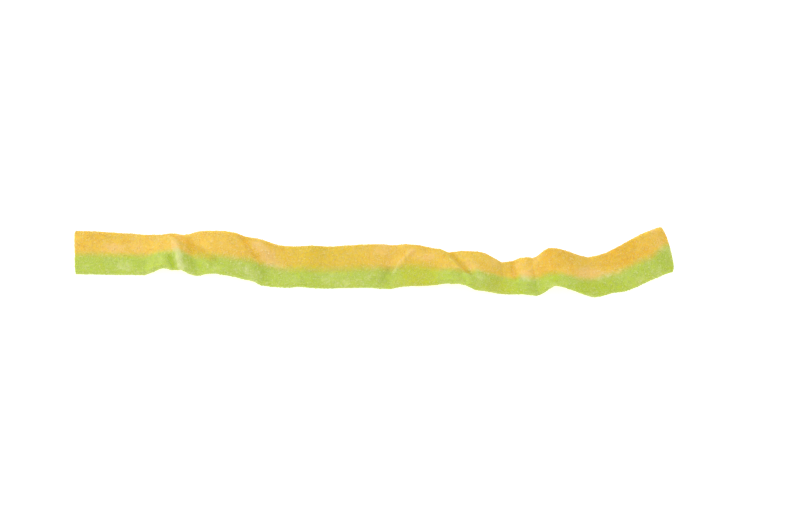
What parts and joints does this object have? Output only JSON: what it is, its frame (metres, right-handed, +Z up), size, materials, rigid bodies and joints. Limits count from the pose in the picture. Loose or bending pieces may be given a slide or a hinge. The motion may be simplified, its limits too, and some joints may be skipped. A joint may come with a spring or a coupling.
{
  "type": "candy belt",
  "caption": "Flat ribbon of chewy candy with an orange and a green stripe side by side, under a fine sour sugar coat, lying in soft folds with its far end lifted off the table",
  "frame": {"origin": "On the table under the middle of the belt's box, so the parts that lie flat have their underside at Z = 0", "axes": "+X runs along the belt from its flat end to its lifted end, +Y points to the orange edge, which is the far one in the picture, and +Z is up"},
  "size_m": [0.206, 0.0256, 0.0122],
  "materials": {
    "orange_candy": "matte chewy candy frosted with fine sugar",
    "green_candy": "matte chewy candy frosted with fine sugar"
  },
  "bodies": {
    "root": {"orange_stripe": "orange_candy", "green_stripe": "green_candy"}
  },
  "joints": []
}
